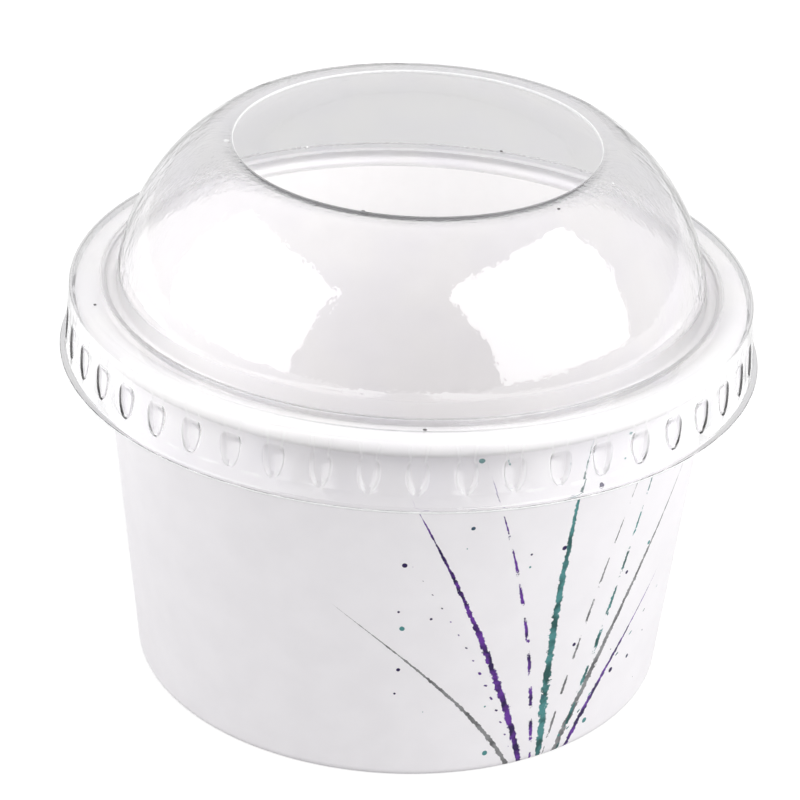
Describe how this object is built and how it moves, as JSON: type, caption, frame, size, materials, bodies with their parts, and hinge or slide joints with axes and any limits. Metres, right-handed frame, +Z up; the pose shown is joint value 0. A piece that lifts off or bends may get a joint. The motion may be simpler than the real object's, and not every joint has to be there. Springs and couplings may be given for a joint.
{
  "type": "paper dessert cup with dome lid",
  "caption": "Squat paperboard cup with rolled rim for ice cream or dessert, closed by a clear plastic dome lid with a round serving hole.",
  "frame": {"origin": "centre of the foot ring, on the surface the cup stands on", "axes": "+Z up along the axis of the cup and lid, +X to the right and -Y towards the viewer of the picture; the side seam is on the right, just behind"},
  "size_m": [0.0986, 0.0986, 0.079],
  "materials": {
    "printed_board": "white coated paperboard, satin, with sparse print in violet, teal and grey on the outside",
    "plain_board": "white coated paperboard, satin, unprinted",
    "clear_lid": null
  },
  "bodies": {
    "cup": {"cup_wall": "printed_board", "cup_base": "plain_board"},
    "lid": {"dome_lid": "clear_lid"}
  },
  "joints": [
    {"name": "lid_lift", "type": "slide", "parent": "cup", "child": "lid", "axis": [0, 0, 1], "range_m": [0, 0.06]}
  ]
}
